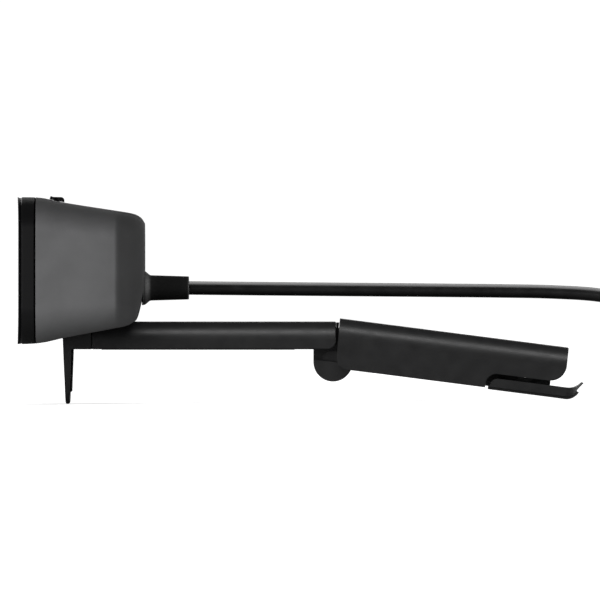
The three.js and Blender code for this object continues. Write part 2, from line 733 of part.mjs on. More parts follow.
function addLeg(group) {
  add(group, "leg_cover", legCover(), clipBlack);
  add(group, "leg_frame", legFrame(), clipBlack);
  add(group, "fold_pin", rodX(0, 0, fold.pin, gap - boreReach, boreReach - gap), steel);
  add(group, "foot_plate", footPlate(), clipBlack);
  add(group, "foot_pad", footPad(), rubber);
  add(group, "foot_pin", rodX(footPivot.y, footPivot.z, footPivot.pin, -6.5, 6.5, 16), steel);
}

function addCord(group) {
  add(group, "usb_cord_lead", tube(leadRoute, cordRadius, 40), cordBlack);
  add(group, "usb_cord_coil", cordCoil(), cordBlack);
  add(group, "usb_cord_tail", tube(tailRoute, cordRadius, 16), cordBlack);
  add(group, "cable_tie", cordTie(), rubber);
  add(group, "usb_plug_body", plugBody(), rubber);
  add(group, "usb_plug_shell", plugShell(), steel);
  add(group, "usb_plug_tongue", plugTongue(), milky);
}

const webcam = new THREE.Group();
const camera = new THREE.Group();
const legGroup = new THREE.Group();
addHead(camera);
addClip(camera);
addLeg(legGroup);
legGroup.position.set(0, fold.y, fold.z);
legGroup.rotation.x = -legDrop;
camera.add(legGroup);

// Leaned back until the lip's tip and the underside of the toe are level.
const toeCentre = new THREE.Vector3(0, toe.y, toe.z).applyEuler(legGroup.rotation).add(legGroup.position);
const toeLowest = toeCentre.z - (toe.z - foot.bottom);
const lipLowest = lipTip.z - lipTip.radius;
camera.rotation.x = -Math.atan2(toeLowest - lipLowest, toeCentre.y - lipTip.y);
const reach = new THREE.Box3().setFromObject(camera, true);
camera.position.set(0, -(reach.min.y + reach.max.y) / 2, -reach.min.z);

webcam.add(camera);
addCord(webcam);

export default webcam;
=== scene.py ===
import json
import math

import bmesh
import bpy
from mathutils import Matrix, Vector


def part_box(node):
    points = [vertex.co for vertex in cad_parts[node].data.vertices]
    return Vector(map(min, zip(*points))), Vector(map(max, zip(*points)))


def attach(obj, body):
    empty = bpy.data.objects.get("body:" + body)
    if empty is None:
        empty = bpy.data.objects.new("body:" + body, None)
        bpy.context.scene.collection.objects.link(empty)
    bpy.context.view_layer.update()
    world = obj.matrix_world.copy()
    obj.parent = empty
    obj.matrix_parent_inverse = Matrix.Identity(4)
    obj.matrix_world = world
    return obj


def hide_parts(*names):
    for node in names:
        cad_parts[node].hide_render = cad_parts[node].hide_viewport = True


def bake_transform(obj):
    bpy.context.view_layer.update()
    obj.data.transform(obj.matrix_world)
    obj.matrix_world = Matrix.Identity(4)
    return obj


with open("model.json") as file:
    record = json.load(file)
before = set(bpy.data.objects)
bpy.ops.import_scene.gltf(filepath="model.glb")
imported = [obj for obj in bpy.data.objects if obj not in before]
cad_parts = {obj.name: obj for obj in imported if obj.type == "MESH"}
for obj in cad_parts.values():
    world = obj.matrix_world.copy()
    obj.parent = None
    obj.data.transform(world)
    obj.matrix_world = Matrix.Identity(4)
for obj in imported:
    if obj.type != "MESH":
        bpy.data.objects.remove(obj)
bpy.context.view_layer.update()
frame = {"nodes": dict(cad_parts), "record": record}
NODES = frame["nodes"]

# The webcam is drawn level, in millimetres: y from its front face, z from its arm's underside. LEVEL
# carries that frame to the model's, from the middles of the tilt pin and of the leg's pin. LEG does the
# same for the leg's own frame, whose origin is the leg's hinge.
MM = 0.001
TILT = Vector((0, 13, 5.4))
FOLD = Vector((0, 64.6, -2.6))
LEG_DROP = math.radians(7.28)


def middle(node):
    low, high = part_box(node)
    return (low + high) / 2


def lean():
    real = middle("fold_pin") - middle("tilt_pin")
    drawn = FOLD - TILT
    return math.atan2(real.z, real.y) - math.atan2(drawn.z, drawn.y)


LEVEL = (
    Matrix.Translation(middle("tilt_pin"))
    @ Matrix.Rotation(lean(), 4, "X")
    @ Matrix.Scale(MM, 4)
    @ Matrix.Translation(-TILT)
)
LEG = LEVEL @ Matrix.Translation(FOLD) @ Matrix.Rotation(-LEG_DROP, 4, "X")
WORLD = Matrix.Scale(MM, 4)

# ---- Camera ----------------------------------------------------------------------------------------

VIEW_CENTRE = Vector((0, 57.85, 10.09))
VIEW_WIDTH = 123
VIEW_DISTANCE = 5000
SENSOR_WIDTH = 36


def make_camera():
    data = bpy.data.cameras.new("camera")
    data.sensor_width = SENSOR_WIDTH
    data.lens = SENSOR_WIDTH * VIEW_DISTANCE / VIEW_WIDTH
    data.clip_start = 0.1
    data.clip_end = 40
    camera = bpy.data.objects.new("camera", data)
    bpy.context.scene.collection.objects.link(camera)
    turn = LEVEL.to_3x3().normalized()
    right, up = turn @ Vector((0, 1, 0)), turn @ Vector((0, 0, 1))
    back = right.cross(up)
    camera.matrix_world = Matrix.Translation(LEVEL @ VIEW_CENTRE + back * VIEW_DISTANCE * MM) @ Matrix(
        (right, up, back)
    ).transposed().to_4x4()
    bpy.context.scene.camera = camera


# ---- Mesh tools ------------------------------------------------------------------------------------


def add_mesh(name, vertices, faces, place=WORLD):
    """A mesh object with its vertices carried into the model's frame."""
    mesh = bpy.data.meshes.new(name)
    mesh.from_pydata([place @ Vector(v) for v in vertices], [], faces)
    mesh.validate()
    thing = bpy.data.objects.new(name, mesh)
    bpy.context.scene.collection.objects.link(thing)
    return thing


def smooth(thing, degrees=35):
    """Smooth shading, kept sharp at edges over that angle."""
    bm = bmesh.new()
    bm.from_mesh(thing.data)
    for face in bm.faces:
        face.smooth = True
    for edge in bm.edges:
        edge.smooth = edge.is_manifold and edge.calc_face_angle(0) < math.radians(degrees)
    bm.to_mesh(thing.data)
    bm.free()


def smooth_path(points, per_span):
    """A centripetal Catmull-Rom curve through points, cut into per_span steps a span."""
    points = [Vector(p) for p in points]
    ends = [2 * points[0] - points[1], *points, 2 * points[-1] - points[-2]]
    path = []
    for p0, p1, p2, p3 in zip(ends, ends[1:], ends[2:], ends[3:]):
        t0 = 0
        t1 = t0 + math.sqrt((p1 - p0).length)
        t2 = t1 + math.sqrt((p2 - p1).length)
        t3 = t2 + math.sqrt((p3 - p2).length)
        for step in range(per_span):
            t = t1 + (t2 - t1) * step / per_span
            a1 = p0.lerp(p1, (t - t0) / (t1 - t0))
            a2 = p1.lerp(p2, (t - t1) / (t2 - t1))
            a3 = p2.lerp(p3, (t - t2) / (t3 - t2))
            b1 = a1.lerp(a2, (t - t0) / (t2 - t0))
            b2 = a2.lerp(a3, (t - t1) / (t3 - t1))
            path.append(b1.lerp(b2, (t - t1) / (t2 - t1)))
    path.append(points[-1])
    return path


def tube(name, path, radius, sides=20):
    """A tube with closed ends along a fine path, carried along it without twisting."""
    vertices = []
    normal = Vector((0, 0, 1))
    for i, point in enumerate(path):
        tangent = (path[min(i + 1, len(path) - 1)] - path[max(i - 1, 0)]).normalized()
        normal = (normal - tangent * normal.dot(tangent)).normalized()
        across = tangent.cross(normal)
        for k in range(sides):
            angle = 2 * math.pi * k / sides
            vertices.append(point + radius * (math.cos(angle) * normal + math.sin(angle) * across))
    faces = [
        (i * sides + k, (i + 1) * sides + k, (i + 1) * sides + (k + 1) % sides, i * sides + (k + 1) % sides)
        for i in range(len(path) - 1)
        for k in range(sides)
    ]
    faces.append(tuple(range(sides)))
    faces.append(tuple(reversed(range(len(vertices) - sides, len(vertices)))))
    return add_mesh(name, vertices, faces)


# ---- The cable, in the final frame and in millimetres ---------------------------------------------

CORD_RADIUS = 1.4
TURN_PITCH = 2.85
COIL_X, COIL_Y = -14.1, 113
COIL_INSIDE, COIL_BOTTOM = 10.2, 0.7
COIL_ROWS = COIL_COLUMNS = 4
POINTS_PER_TURN = 72
LEAD_ROUTE = [
    (0, -23.05, 23.5), (0, -10, 23.24), (0, 10, 22.87), (0, 30, 22.5), (0, 41, 22.28), (0.2, 52, 21.95),
    (0.7, 61.5, 21.2), (1.6, 70, 19.3), (2.9, 78, 15.9), (4.3, 86, 11.2), (5.5, 93, 6.6), (6.2, 98, 3.8),
    (6.3, 101.5, 2.7),
]
TAIL_ROUTE = [
    (6.3, 124.9, 9.7), (8.9, 129.6, 8.4), (13.2, 133.6, 7), (18.3, 134.6, 5.8), (23.2, 132.5, 4.9),
    (26.7, 128.1, 4.3), (27.9, 122.5, 3.95), (28, 115.35, 3.9),
]


def ease(share):
    share = min(max(share, 0), 1)
    return share * share * (3 - 2 * share)


def coil_path():
    """Three full rows of turns, in and out, rising at the end to the top row, where last_turn goes on."""
    middle_radius = COIL_INSIDE + TURN_PITCH / 2
    shift = 0.2  # the share of a turn in which the cable moves across to the next column or row
    path = []
    rows = COIL_ROWS - 1
    for turn in range(rows * COIL_COLUMNS):
        row, column = divmod(turn, COIL_COLUMNS)
        last = column == COIL_COLUMNS - 1
        here = column if row % 2 else COIL_COLUMNS - 1 - column
        across = 0 if last else (1 if row % 2 else -1)
        for step in range(POINTS_PER_TURN):
            share = step / POINTS_PER_TURN
            moved = ease((share - 1 + shift) / shift)
            radius = middle_radius + TURN_PITCH * (here + across * moved)
            height = COIL_BOTTOM + TURN_PITCH * (row + 0.5 + (moved if last else 0))
            angle = 2 * math.pi * share
            path.append(
                Vector((COIL_X + radius * math.cos(angle), COIL_Y + radius * math.sin(angle), height))
            )
    return path


def last_turn():
    """From the inner column, over the top row, out past the coil's edge to the tail."""
    inner = COIL_INSIDE + TURN_PITCH / 2
    level = COIL_BOTTOM + TURN_PITCH * (COIL_ROWS - 0.5)
    tail = Vector(TAIL_ROUTE[0])
    out = math.hypot(tail.x - COIL_X, tail.y - COIL_Y)
    whole = 2 * math.pi + math.atan2(tail.y - COIL_Y, tail.x - COIL_X)
    steps = POINTS_PER_TURN // 3
    path = []
    for step in range(steps):
        share = step / steps
        radius = inner + (out - inner) * ease((share - 0.15) / 1.15)
        height = level + (tail.z - level) * ease((share - 0.85) / 0.3)
        angle = whole * share
        path.append((COIL_X + radius * math.cos(angle), COIL_Y + radius * math.sin(angle), height))
    return path


def cord_path():
    """The whole cable: through the air, round the coil, and out to the plug."""
    coil = coil_path()
    start = smooth_path([*LEAD_ROUTE, coil[0], coil[3]], 8)[:-8]
    end = smooth_path([coil[-6], coil[-1], *last_turn()[1:], *TAIL_ROUTE], 6)[6:]
    return start[:-1] + coil + end


def make_cord():
    path = cord_path()
    cord = tube("usb_cord", path, CORD_RADIUS)
    smooth(cord)
    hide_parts("usb_cord_lead", "usb_cord_coil", "usb_cord_tail")
    length = sum((b - a).length for a, b in zip(path, path[1:]))
    print("cord length, mm:", round(length, 1))
    return cord, [tuple(point * MM) for point in path]


def band(centres, radius, steps=8):
    """The outline of a strap pulled tight round equal circles, given anticlockwise."""
    points = []
    for i, centre in enumerate(centres):
        before = centre - centres[i - 1]
        after = centres[(i + 1) % len(centres)] - centre
        start = math.atan2(-before.x, before.y)
        sweep = (math.atan2(-after.x, after.y) - start) % (2 * math.pi)
        for step in range(steps + 1):
            angle = start + sweep * step / steps
            points.append(centre + radius * Vector((math.cos(angle), math.sin(angle))))
    return points


def make_tie():
    """A soft strap pulled round the bundle, with its end laid back over it."""
    half, thickness = 2.5, 0.3
    strand = CORD_RADIUS + 0.18
    left = COIL_X - COIL_INSIDE - TURN_PITCH * (COIL_COLUMNS - 0.5)
    right = COIL_X - COIL_INSIDE - TURN_PITCH * 0.5 + 0.25
    low = COIL_BOTTOM + TURN_PITCH * 0.5
    high = COIL_BOTTOM + TURN_PITCH * (COIL_ROWS - 1.5)
    crest = Vector((COIL_X - 13.8, COIL_BOTTOM + TURN_PITCH * (COIL_ROWS - 0.5)))
    corners = [Vector(p) for p in ((left, low), (right, low), (right, high), crest, (left, high))]
    around = [band(corners, radius) for radius in (strand, strand + thickness)]
    strap = ring_prism("cable_tie_strap", *around, COIL_Y - half, COIL_Y + half)
    lap = slice(9, 27)  # the flap leaves out the points round its first corner
    inner, outer = (band(corners[:1] + corners[3:], strand + rise)[lap] for rise in (0.32, 0.5))
    half -= 0.4
    return join(strap, along_y("flap", inner + outer[::-1], COIL_Y - half, COIL_Y + half, WORLD))


# ---- Shapes drawn as outlines ----------------------------------------------------------------------


def outline(corners, steps=8):
    """A closed outline through (a, b, radius) corners, where a radius rounds its corner."""
    points = []
    for i, corner in enumerate(corners):
        radius = corner[2] if len(corner) > 2 else 0
        here = Vector(corner[:2])
        before = (Vector(corners[i - 1][:2]) - here).normalized()
        after = (Vector(corners[(i + 1) % len(corners)][:2]) - here).normalized()
        if not radius:
            points.append(here)
            continue
        half = before.angle(after) / 2
        centre = here + (before + after).normalized() * radius / math.sin(half)
        start = here + before * radius / math.tan(half) - centre
        sweep = math.pi - 2 * half
        sweep *= -1 if before.cross(after) > 0 else 1
        for step in range(steps + 1):
            points.append(centre + Matrix.Rotation(sweep * step / steps, 2) @ start)
    return points


def arc(centre, radius, start, end, steps=16):
    """Points on an arc, from one angle to another in degrees."""
    angles = [math.radians(start + (end - start) * i / steps) for i in range(steps + 1)]
    return [Vector((centre[0] + radius * math.cos(a), centre[1] + radius * math.sin(a))) for a in angles]


def prism(name, vertices, place):
    """A closed body between two equal outlines, whose points follow one another in vertices."""
    count = len(vertices) // 2
    faces = [(k, (k + 1) % count, count + (k + 1) % count, count + k) for k in range(count)]
    faces += [tuple(reversed(range(count))), tuple(range(count, 2 * count))]
    return outward(add_mesh(name, vertices, faces, place))


def across_x(name, points, x0, x1, place=LEVEL):
    """An outline drawn in (y, z), from x0 to x1."""
    return prism(name, [(x, *point) for x in (x0, x1) for point in points], place)


def along_y(name, points, y0, y1, place=LEVEL):
    """An outline drawn in (x, z), from y0 to y1."""
    return prism(name, [(point[0], y, point[1]) for y in (y0, y1) for point in points], place)


def along_z(name, points, z0, z1, place=LEVEL):
    """An outline drawn in (x, y), from z0 to z1."""
    return prism(name, [(*point, z) for z in (z0, z1) for point in points], place)


def ring_prism(name, inner, outer, y0, y1, place=WORLD):
    """The wall between two outlines with as many points, from y0 to y1."""
    count = len(inner)
    rings = [(inner, y0), (outer, y0), (outer, y1), (inner, y1)]
    vertices = [(point[0], y, point[1]) for points, y in rings for point in points]
    faces = [
        (a * count + k, a * count + (k + 1) % count, b * count + (k + 1) % count, b * count + k)
        for a, b in ((0, 1), (1, 2), (2, 3), (3, 0))
        for k in range(count)
    ]
    return outward(add_mesh(name, vertices, faces, place))


def turned(name, x, z, profile, place=LEVEL, sides=96):
    """A closed profile of (radius, y) turned round a line along y."""
    vertices = []
    rings = []
    for radius, y in profile:
        if radius == 0:
            rings.append([len(vertices)] * sides)
            vertices.append((x, y, z))
            continue
        rings.append(list(range(len(vertices), len(vertices) + sides)))
        for k in range(sides):
            angle = 2 * math.pi * k / sides
            vertices.append((x + radius * math.cos(angle), y, z + radius * math.sin(angle)))
    faces = []
    for ring, following in zip(rings, rings[1:] + rings[:1]):
        for k in range(sides):
            corners = [ring[k], ring[(k + 1) % sides], following[(k + 1) % sides], following[k]]
            corners = list(dict.fromkeys(corners))
            if len(corners) > 2:
                faces.append(tuple(corners))
    return outward(add_mesh(name, vertices, faces, place))


def rod_x(name, y, z, radius, x0, x1, place=LEVEL, sides=64):
    return across_x(name, arc((y, z), radius, 0, 360 * (1 - 1 / sides), sides - 1), x0, x1, place)


def block(name, x0, x1, y0, y1, z0, z1, place=LEVEL):
    return across_x(name, [Vector(p) for p in ((y0, z0), (y1, z0), (y1, z1), (y0, z1))], x0, x1, place)


def outward(thing):
    bm = bmesh.new()
    bm.from_mesh(thing.data)
    bmesh.ops.recalc_face_normals(bm, faces=bm.faces)
    bm.to_mesh(thing.data)
    bm.free()
    return thing


# ---- Joining, cutting and finishing ---------------------------------------------------------------


def combine(thing, others, operation):
    """thing joined to, cut by or kept within the other meshes, which are used up."""
    for other in others:
        modifier = thing.modifiers.new("combine", "BOOLEAN")
        modifier.operation = operation
        modifier.solver = "EXACT"
        modifier.object = other
        bpy.context.view_layer.update()
        graph = bpy.context.evaluated_depsgraph_get()
        mesh = bpy.data.meshes.new_from_object(thing.evaluated_get(graph))
        thing.modifiers.clear()
        thing.data = mesh
        bpy.data.objects.remove(other)
    return thing


def join(thing, *others):
    return combine(thing, others, "UNION")


def cut(thing, *others):
    return combine(thing, others, "DIFFERENCE")


def common(thing, *others):
    return combine(thing, others, "INTERSECT")


def edged(thing, width=0.2, degrees=38, segments=3):
    """Rounds every edge over that angle by width, in millimetres, and shades the rest smooth."""
    bm = bmesh.new()
    bm.from_mesh(thing.data)
    bmesh.ops.remove_doubles(bm, verts=bm.verts, dist=0.002 * MM)
    bmesh.ops.dissolve_limit(bm, angle_limit=math.radians(0.5), verts=bm.verts, edges=bm.edges)
    for face in bm.faces:
        face.smooth = True
    bm.to_mesh(thing.data)
    bm.free()
    bevel = thing.modifiers.new("edges", "BEVEL")
    bevel.width = width * MM
    bevel.segments = segments
    bevel.limit_method = "ANGLE"
    bevel.angle_limit = math.radians(degrees)
    bevel.use_clamp_overlap = True
    bevel.miter_outer = "MITER_ARC"
    weighted = thing.modifiers.new("normals", "WEIGHTED_NORMAL")
    weighted.keep_sharp = False
    weighted.weight = 90
    return thing


def make(thing, body, slot, material, *nodes):
    """Puts a finished piece on its body, with its material, in place of its CAD nodes."""
    thing.data.materials.clear()
    thing.data.materials.append(material)
    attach(thing, body)
    if nodes:
        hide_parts(*nodes)
    return thing


# ---- The head --------------------------------------------------------------------------------------

COVER_DEPTH = 3.7
HOUSING_START = 4
HEAD_DEPTH = 26
TILT_BORE, FOLD_BORE, FOOT_BORE = 0.95, 1.1, 0.8
FRONT_CROWN = 0.5
FRONT_RIM = 0.45  # how far the front rim's groove is behind the face, and how deep it is
# depth, half width, top, bottom, and the corners' radii across, at the top and at the bottom
HEAD_STATIONS = [
    (0.5, 36.5, 31.1, 1.05, 14, 6.5, 7.5),
    (4, 36.5, 31.05, 1.2, 14, 6.5, 7.5),
    (9.6, 36.3, 30, 2.35, 13.7, 6.2, 7),
    (20.1, 35.6, 28.35, 4.35, 13, 5.6, 6),
    (22.4, 32.8, 28, 4.85, 12, 5.4, 5.8),
    (24.2, 29.4, 27.6, 6, 11, 5.2, 5.4),
    (25.3, 25.8, 26.9, 9.6, 9.5, 4.8, 4),
    (26, 22.5, 25.8, 13.5, 8, 4.4, 3.5),
]
LENS_HEIGHT = 16.1
RING_RADIUS = 9.15
MIC_OFFSET = 20.5
LED_OFFSET = -13.5
SHUTTER_OPEN = 10
SLOT_HALF, KNOB_HALF, KNOB_HOLLOW = 1.7, 3.5, 1.2
GLAND_HEIGHT = 12.57
RECESS_HALF = 12.5


def head_values(y):
    """The head's half width, heights and radii at a depth, on smooth curves through the stations."""
    stations = HEAD_STATIONS
    y = min(max(y, stations[0][0]), stations[-1][0])
    i = max(k for k in range(len(stations) - 1) if stations[k][0] <= y)
    values = []
    for column in range(1, len(stations[0])):

        def rise(k):
            k = min(max(k, 0), len(stations) - 2)
            a, b = stations[k], stations[k + 1]
            return (b[column] - a[column]) / (b[0] - a[0])

        def slope(k):
            before, after = rise(k - 1), rise(k)
            return 0 if before * after <= 0 else 2 * before * after / (before + after)

        a, b = stations[i], stations[i + 1]
        span = b[0] - a[0]
        t = (y - a[0]) / span
        start, end = span * slope(i), span * slope(i + 1)
        values.append(
            (2 * t**3 - 3 * t**2 + 1) * a[column]
            + (t**3 - 2 * t**2 + t) * start
            + (3 * t**2 - 2 * t**3) * b[column]
            + (t**3 - t**2) * end
        )
    return values


def head_loft(name, depths, inset=0, crown=0, corner_steps=12, mid_steps=12):
    """A closed body through the head's outline at (depth, extra inset) pairs. crown bows the first ring."""
    vertices, faces, columns = [], [], []
    for row, (y, extra) in enumerate(depths):
        half, top, bottom, across, high, low = head_values(y)
        half, top, bottom = half - inset - extra, top - inset - extra, bottom + inset + extra
        across, high, low = (max(r - inset - extra, 1) for r in (across, high, low))
        right = []
        for k in range(corner_steps + 1):
            angle = math.pi / 2 * k / corner_steps
            right.append(
                (
                    half - across * (1 - math.cos(angle)),
                    top - high * (1 - math.sin(angle)),
                    bottom + low * (1 - math.sin(angle)),
                )
            )
        inner = half - across
        mids = [(inner - 2 * inner * k / mid_steps, top, bottom) for k in range(1, mid_steps)]
        row_columns = right + mids + [(-x, a, b) for x, a, b in reversed(right)]
        start = len(vertices)
        bow = [crown * (x / half) ** 2 * (1 if y < 1 else 0) for x, a, b in row_columns]
        vertices += [(x, y + back, a) for (x, a, b), back in zip(row_columns, bow)]
        vertices += [(x, y + back, b) for (x, a, b), back in zip(row_columns, bow)]
        count = len(row_columns)
        tops = list(range(start, start + count))
        bottoms = list(range(start + count, start + 2 * count))
        columns.append((tops, bottoms))
    rings = [tops + bottoms[::-1] for tops, bottoms in columns]
    for ring, following in zip(rings, rings[1:]):
        for k in range(len(ring)):
            n = (k + 1) % len(ring)
            faces.append((ring[k], ring[n], following[n], following[k]))
    for tops, bottoms in (columns[0], columns[-1]):
        for k in range(len(tops) - 1):
            faces.append((tops[k], tops[k + 1], bottoms[k + 1], bottoms[k]))
    return outward(add_mesh(name, vertices, faces, LEVEL))


def steps_between(start, end, count):
    return [(start + (end - start) * k / count, 0) for k in range(count + 1)]


def front_cover():
    """A crowned shell. Its rim is full size at the face, with a shallow groove right behind it."""
    rim = [
        (FRONT_RIM * math.sin(a), FRONT_RIM * (1 - math.cos(a)))
        for a in (math.radians(90 * k / 6) for k in range(7))
    ]
    cover = head_loft("front_cover_shell", rim + steps_between(1.2, COVER_DEPTH, 2), 0, FRONT_CROWN)
    inside = head_loft("inside", steps_between(1.75, COVER_DEPTH + 1, 2), 1.4)
    holes = [
        turned("hole", x, LENS_HEIGHT, [(0, -1), (radius, -1), (radius, 3), (0, 3)], sides=sides)
        for x, radius, sides in (
            (0, RING_RADIUS + 0.15, 96),
            (LED_OFFSET, 0.9, 32),
            (-MIC_OFFSET, 0.5, 24),
            (MIC_OFFSET, 0.5, 24),
        )
    ]
    return edged(cut(cover, inside, *holes), 0.12)


def rear_housing():
    body_depths = steps_between(HOUSING_START, 20, 10) + steps_between(20.3, HEAD_DEPTH, 19)
    outside = head_loft("rear_housing_shell", body_depths)
    cavity = head_loft("cavity", steps_between(2, 20, 4) + steps_between(21, 23.4, 4), 1.6)
    walls = across_x(
        "walls",
        outline([(5.8, 0), (28, 0), (28, 9.6), (7.6, 9.6, 1.5), (5.8, 7.6, 1)]),
        -RECESS_HALF - 1.5,
        RECESS_HALF + 1.5,
    )
    solid = head_loft("solid", body_depths)
    walls = common(walls, solid)
    recess = across_x(
        "recess",
        outline([(7.4, -1), (28, -1), (28, 8.2), (8.8, 8.2, 0.8), (7.4, 6.6)]),
        -RECESS_HALF,
        RECESS_HALF,
    )
    slot_cut = block("slot", -SLOT_HALF, SHUTTER_OPEN + SLOT_HALF, 7.2, 9, 26, 33)
    gland_hole = turned(
        "gland_hole",
        0,
        GLAND_HEIGHT,
        [(0, 22), (2.15, 22), (2.15, 25.2), (3.85, 25.2), (3.85, 28), (0, 28)],
    )
    pin_holes = rod_x("pin_hole", TILT.y, TILT.z, TILT_BORE, -16, 16)
    shell = cut(outside, cavity)
    shell = join(shell, walls)
    return edged(cut(shell, recess, slot_cut, gland_hole, pin_holes), 0.15)


def shutter_knob():
    """A low ridge with a raised front, and a thumb's hollow in each end."""
    x0, x1 = SHUTTER_OPEN - KNOB_HALF, SHUTTER_OPEN + KNOB_HALF
    side = outline(
        [(6.65, 30.7), (9.62, 30.08), (9.62, 31.12, 0.65), (7.3, 31.18, 0.4), (6.85, 31.42, 0.2)]
    )
    ridge = across_x("shutter_slider", side, x0, x1)
    ends = ((x0, x0 + KNOB_HOLLOW), (x1 - KNOB_HOLLOW, x1))
    hollows = [rod_x("hollow", 8.1, 30.98, 0.5, *end) for end in ends]
    return edged(cut(ridge, *hollows), 0.12, 50)


def cable_gland():
    profile = [(0, 21.9), (2.6, 21.9), (2.6, 23.1), (2, 23.1), (2, 25.45), (3.45, 25.45)]
    profile += [(3.45 + 0.12 * math.sin(math.radians(18 * k)), 25.45 + 0.04 * k) for k in range(1, 10)]
    profile += [(3.5 - 0.9 * ease(k / 10), 25.85 + 1.5 * k / 10) for k in range(1, 11)]
    profile += [(2.6 - 0.22 * k / 6, 27.4 + 7.3 * k / 6) for k in range(1, 7)]
    profile += [(2.38 - 0.2 * (1 - math.cos(a)), 34.9 + 0.2 * math.sin(a)) for a in (0.4, 0.8, 1.2, 1.57)]
    profile += [(1.5, 35.1), (1.5, 34.7), (0, 34.7)]
    gland = turned("cable_gland_sleeve", 0, GLAND_HEIGHT, profile)
    smooth(gland, 40)
    return gland


def lens_pieces():
    ring = turned(
        "lens_bezel",
        0,
        LENS_HEIGHT,
        [(7.3, 1.75), (7.3, 1.05), (7.5, 0.85), (8.1, 0.62), (8.3, 0.5), (8.6, 0.24), (8.75, 0.2)]
        + [(9.05, 0.2), (9.15, 0.3), (9.15, 1.75)],
        sides=128,
    )
    smooth(ring, 25)
    window = turned(
        "lens_window_glass",
        0,
        LENS_HEIGHT,
        [(0, 1.0), (7.0, 1.0), (7.12, 1.08), (7.12, 1.55), (7.05, 1.6), (0, 1.6)],
        sides=128,
    )
    smooth(window, 30)
    barrel = turned(
        "lens_barrel_body",
        0,
        LENS_HEIGHT,
        [(2.1, 8.9), (2.1, 5.4), (3.2, 5.2), (3.2, 4.7), (3.5, 4.45), (3.6, 4.1), (3.85, 4.0), (3.9, 3.7)]
        + [(4.15, 3.6), (4.2, 3.3), (4.45, 3.2), (4.5, 2.95), (4.9, 2.95), (5, 3.05), (5, 4.3), (3.95, 4.5)]
        + [(3.95, 8.9)],
        sides=96,
    )
    smooth(barrel, 20)
    dome = [
        (3.05 * math.sin(a), 4.35 - 1.05 * (math.cos(a) - 0.25) / 0.75)
        for a in (math.radians(75 * k / 14) for k in range(15))
    ]
    front = turned("lens_front_glass", 0, LENS_HEIGHT, dome + [(2.98, 4.5), (0, 4.6)], sides=96)
    smooth(front, 40)
    return ring, window, barrel, front


# ---- The clip --------------------------------------------------------------------------------------

CLIP_HALF = 12
THROUGH = 13  # half the length of a tool that cuts right across the clip
CHANNEL_WALL = 1.1
CHANNEL_CORNER = 3.8
CORE_HALF = 10.6
CORE_TOP = 4.42
ARM_FRONT, ARM_BACK, ARM_TOP = 15.3, 65.23, 5.68
LIP_Y, LIP_Z = 10.3, -10.72
ARM_PAD_HALF, ARM_PAD_START, ARM_PAD_END = 9, 17.2, 56.8
PAD_PLAY = 0.2
LIP_PAD_HALF, LIP_PAD_END = 9.5, -8.7
FOLD_RADIUS = 4
KNUCKLE_HALF = 5.5
NECK_BACK = 2.4
BORE_REACH = 8.7
LEG_FRONT, LEG_BACK, LEG_BOTTOM, LEG_TOP = 0.3, 47.6, -1.2, 9.05
NOTCH_FRONT, NOTCH_TOP = 31.5, 1.85
LUG_SPAN, BOSS_SPAN, EAR_SPAN = (6.05, 10.2), (6.1, 9), (4.4, 6.6)
FOOT_PIVOT = (39.5, 2.6)
FOOT_FRONT, FOOT_TOP, FOOT_SOLE, FOOT_BOTTOM = 32.2, 0.88, -0.95, -1.5
FOOT_PAD_HALF = 11.4
TOE, TOE_END = (48, 1.5), 51.7


def both_sides(inside, outside):
    """The spans from inside to outside on each side of the middle, the left one first."""
    return [(-outside, -inside), (inside, outside)]


def channel_section(half, bottom, top, radius):
    return outline([(-half, bottom), (half, bottom), (half, top, radius), (-half, top, radius)], 14)


def channel(name, half, bottom, top, y0, y1, place):
    """A channel open underneath, with rounded top corners."""
    outer = along_y(name, channel_section(half, bottom, top, CHANNEL_CORNER), y0, y1, place)
    inner = along_y(
        "inner",
        channel_section(half - CHANNEL_WALL, bottom - 1, top - CHANNEL_WALL, CHANNEL_CORNER - CHANNEL_WALL),
        y0 - 1,
        y1 + 1,
        place,
    )
    return cut(outer, inner)


def arm_cover():
    piece = channel("arm_cover_channel", CLIP_HALF, 0, ARM_TOP, ARM_FRONT, ARM_BACK, LEVEL)
    side = across_x(
        "side",
        outline([(0, -1), (0, 7), (ARM_BACK, 7), (ARM_BACK, 0, 1.7), (20, 0), (20, -1)]),
        -THROUGH,
        THROUGH,
    )
    return edged(common(piece, side), 0.25)


def fold_knuckle():
    """The knuckle between the leg's lugs, its neck, and the stop behind the arm's cover."""
    stop_front = ARM_BACK + 0.04
    rise = math.degrees(math.acos(NECK_BACK / FOLD_RADIUS))
    shape = arc((FOLD.y, FOLD.z), FOLD_RADIUS, 180, 360 + rise, 56) + [
        Vector(p)
        for p in (
            (FOLD.y + NECK_BACK, CORE_TOP),
            (65.76, CORE_TOP),
            (65.9, 5.5),
            (stop_front, 5.5),
            (stop_front, CORE_TOP),
            (FOLD.y - FOLD_RADIUS, CORE_TOP),
        )
    ]
    return across_x("fold_knuckle", shape, -KNUCKLE_HALF, KNUCKLE_HALF)


